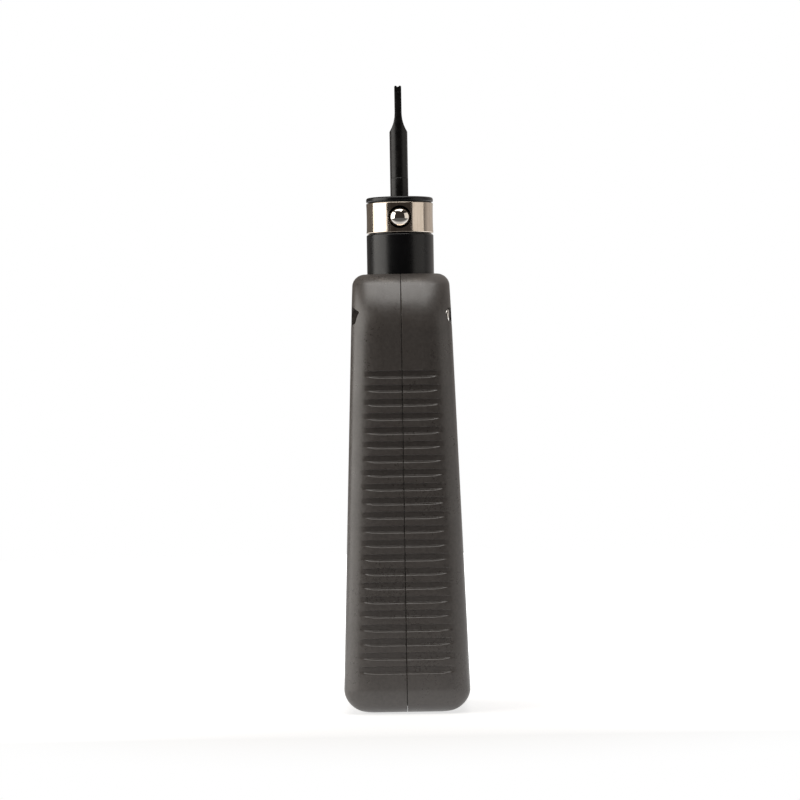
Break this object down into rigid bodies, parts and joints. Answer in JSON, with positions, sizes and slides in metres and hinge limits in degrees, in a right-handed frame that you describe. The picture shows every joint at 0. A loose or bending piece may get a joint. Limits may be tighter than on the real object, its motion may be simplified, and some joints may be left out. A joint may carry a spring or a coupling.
{
  "type": "punch down tool",
  "caption": "Impact punch down tool: ribbed two-shell handle, telescoping sleeve with a ball detent, and a slotted flat-tipped blade that turns to release.",
  "frame": {"origin": "centre of the flat butt face that the tool stands on", "axes": "+Z from the butt to the blade's tip, +X across the seam between the two shells towards the screw heads and the force dial, -Y the plain ribbed edge, +Y the ribbed edge with the storage door"},
  "size_m": [0.0352, 0.0442, 0.1767],
  "materials": {
    "handle_plastic": "fine spark-textured warm dark grey ABS",
    "sleeve_black": "satin black turned sleeve",
    "nickel_band": "bright warm nickel plate",
    "polished_ball": "polished bearing steel",
    "blade_black": "black oxide tool steel, worn bright at its edges",
    "zinc_steel": "zinc plated steel",
    "spring_steel": "drawn spring wire",
    "hardened_steel": "turned and hardened steel",
    "bronze": "oiled sintered bronze",
    "red_nylon": "moulded nylon"
  },
  "bodies": {
    "handle": {"left_shell": "handle_plastic", "right_shell": "handle_plastic", "shell_screw_1": "zinc_steel", "shell_screw_2": "zinc_steel", "shell_screw_3": "zinc_steel", "shell_screw_4": "zinc_steel", "shell_screw_5": "zinc_steel", "shell_nut_1": "zinc_steel", "shell_nut_2": "zinc_steel", "shell_nut_3": "zinc_steel", "shell_nut_4": "zinc_steel", "shell_nut_5": "zinc_steel", "nose_bushing": "bronze", "guide_tube": "zinc_steel", "spring_washer": "zinc_steel", "trip_cam": "hardened_steel", "spare_blade": "blade_black", "door_hinge_pin": "zinc_steel", "main_spring": "spring_steel", "return_spring": "spring_steel"},
    "holder": {"blade_holder": "sleeve_black", "spring_band": "nickel_band", "impact_spindle": "hardened_steel", "holder_pin": "hardened_steel", "retaining_clip": "spring_steel"},
    "blade": {"cutting_blade": "blade_black"},
    "ball": {"detent_ball": "polished_ball"},
    "hammer": {"hammer": "hardened_steel", "sear_spring": "spring_steel"},
    "sear": {"sear_plate": "hardened_steel"},
    "seat": {"spring_seat": "zinc_steel"},
    "dial": {"impact_dial": "red_nylon"},
    "door": {"storage_door": "handle_plastic"}
  },
  "joints": [
    {"name": "stroke", "type": "slide", "parent": "handle", "child": "holder", "axis": [0, 0, -1], "range_m": [0, 0.011], "stiffness_N_per_m": 1500, "springref_m": -0.004, "deforming": ["return_spring"]},
    {"name": "hammer_slide", "type": "slide", "parent": "handle", "child": "hammer", "axis": [0, 0, -1], "range_m": [0, 0.011], "deforming": ["main_spring"]},
    {"name": "sear_slide", "type": "slide", "parent": "hammer", "child": "sear", "axis": [-1, 0, 0], "range_m": [0, 0.0015], "deforming": ["sear_spring"]},
    {"name": "blade_twist", "type": "hinge", "parent": "holder", "child": "blade", "pos_m": [0, 0, 0.1447], "axis": [0, 0, 1], "range_deg": [0, 90]},
    {"name": "ball_detent", "type": "slide", "parent": "holder", "child": "ball", "axis": [0, -1, 0], "range_m": [0, 0.0003], "stiffness_N_per_m": 100, "springref_m": -0.0005},
    {"name": "dial_turn", "type": "hinge", "parent": "handle", "child": "dial", "pos_m": [0.01675, 0, 0.021], "axis": [1, 0, 0], "range_deg": [0, 180]},
    {"name": "seat_lift", "type": "slide", "parent": "handle", "child": "seat", "axis": [0, 0, 1], "range_m": [0, 0.003]},
    {"name": "door_swing", "type": "hinge", "parent": "handle", "child": "door", "pos_m": [0, 0.02, 0.02], "axis": [-1, 0, 0], "range_deg": [0, 90]}
  ],
  "couplings": [
    {"joint": "hammer_slide", "follows": "stroke", "ratio": 1},
    {"joint": "sear_slide", "follows": "stroke", "ratio": 0.13636},
    {"joint": "dial_turn", "follows": "seat_lift", "rad_per_m": 1047.2}
  ]
}
